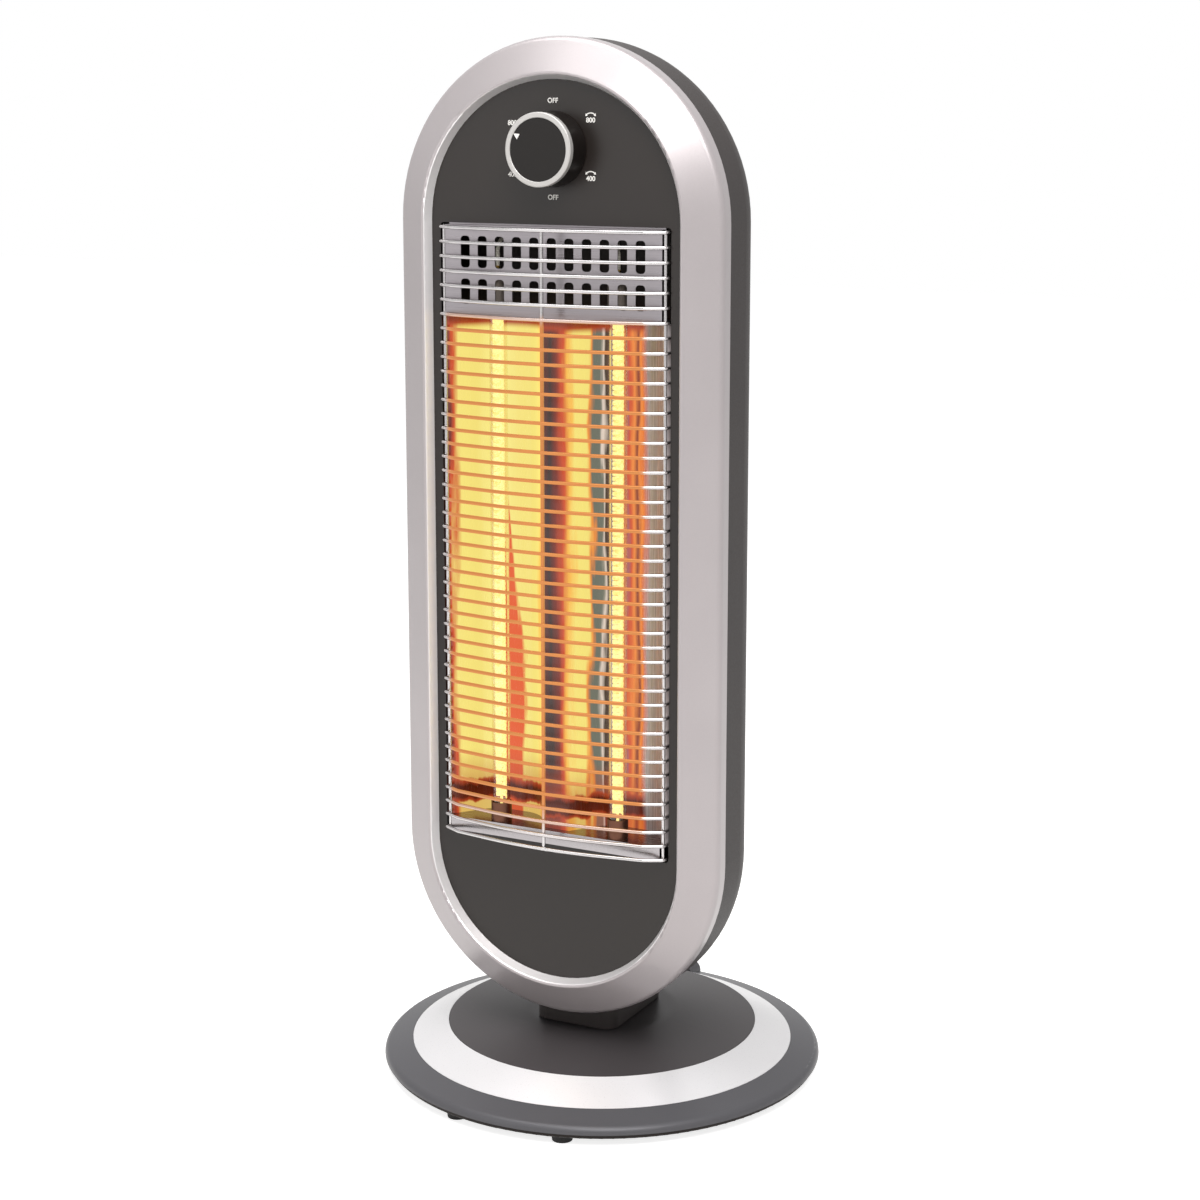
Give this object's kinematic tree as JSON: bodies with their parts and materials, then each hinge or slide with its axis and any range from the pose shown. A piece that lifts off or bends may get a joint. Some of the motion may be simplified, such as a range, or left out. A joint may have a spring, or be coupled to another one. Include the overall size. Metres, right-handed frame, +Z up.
{
  "type": "carbon heater",
  "caption": "Free-standing carbon heater: tall round-ended head with quartz tubes behind a wire guard, one dial knob, swinging on a low round base.",
  "frame": {"origin": "centre of the round base on the floor, on the axis that the head swings about", "axes": "+Z up along the swing axis, -Y towards the heated side, +X to the right seen from the front"},
  "size_m": [0.28, 0.28, 0.6486],
  "materials": {
    "silver_paint": "satin silver paint on moulded plastic",
    "base_silver": "bright silver paint",
    "dark_plastic": "fine-textured moulded plastic",
    "black_fascia": "satin black moulded plastic",
    "knob_black": "satin black moulded plastic",
    "pointer_white": "white moulded insert",
    "chrome_wire": "bright plated wire",
    "polished_aluminium": "polished sheet",
    "shield_steel": "zinc coated sheet",
    "quartz_glass": "clear quartz",
    "carbon_glow": "glowing carbon fibre",
    "white_ceramic": "unglazed ceramic",
    "bare_steel": "plain steel",
    "weight_iron": "as cast",
    "nylon": "natural nylon",
    "black_rubber": "moulded rubber",
    "brass_stud": "turned brass",
    "lead_sleeve": "glass-fibre sleeve",
    "phenolic": "moulded phenolic"
  },
  "bodies": {
    "base": {"base_pan": "dark_plastic", "base_cover": "dark_plastic", "base_trim_ring": "base_silver", "base_weight": "weight_iron", "base_feet": "black_rubber", "base_screws": "bare_steel", "cord_gland": "black_rubber", "pivot_bush": "nylon", "swing_motor": "shield_steel", "motor_screws": "bare_steel", "tip_switch": "phenolic", "terminal_block": "nylon"},
    "crank": {"motor_shaft": "bare_steel", "motor_crank": "nylon"},
    "plunger": {"tip_plunger": "nylon"},
    "head": {"pivot_tube": "bare_steel", "retaining_ring": "bare_steel", "swing_arm": "bare_steel", "neck_cover": "dark_plastic", "head_bracket": "shield_steel", "post_screws": "bare_steel", "bracket_screws": "bare_steel", "rear_shell": "dark_plastic", "case_screws": "bare_steel", "front_bezel": "silver_paint", "front_fascia": "black_fascia", "guard_grille": "chrome_wire", "reflector": "polished_aluminium", "vent_plate": "polished_aluminium", "sill_plate": "polished_aluminium", "heat_shield": "shield_steel", "quartz_tube_left": "quartz_glass", "quartz_tube_right": "quartz_glass", "carbon_filament_left": "carbon_glow", "carbon_filament_right": "carbon_glow", "tube_caps_upper": "white_ceramic", "tube_caps_lower": "shield_steel", "tube_terminals": "brass_stud", "rotary_switch": "phenolic", "switch_nut": "bare_steel", "thermal_cutout": "phenolic", "upper_leads": "lead_sleeve", "lower_leads": "lead_sleeve"},
    "knob": {"knob": "knob_black", "knob_ring": "base_silver", "knob_pointer": "pointer_white", "switch_shaft": "brass_stud"}
  },
  "joints": [
    {"name": "head_swing", "type": "hinge", "parent": "base", "child": "head", "pos_m": [0, 0, 0], "axis": [0, 0, 1], "range_deg": [-35, 35]},
    {"name": "crank_turn", "type": "hinge", "parent": "base", "child": "crank", "pos_m": [0, 0.026, 0.022], "axis": [0, 0, 1], "range_deg": [-106, 106]},
    {"name": "plunger_drop", "type": "slide", "parent": "base", "child": "plunger", "axis": [0, 0, 1], "range_m": [-0.006, 0.0015], "stiffness_N_per_m": 100, "springref_m": -0.012},
    {"name": "knob_turn", "type": "hinge", "parent": "head", "child": "knob", "pos_m": [0, -0.07, 0.5833], "axis": [0, -1, 0], "continuous": true}
  ],
  "couplings": [
    {"joint": "crank_turn", "follows": "head_swing", "ratio": 3}
  ]
}
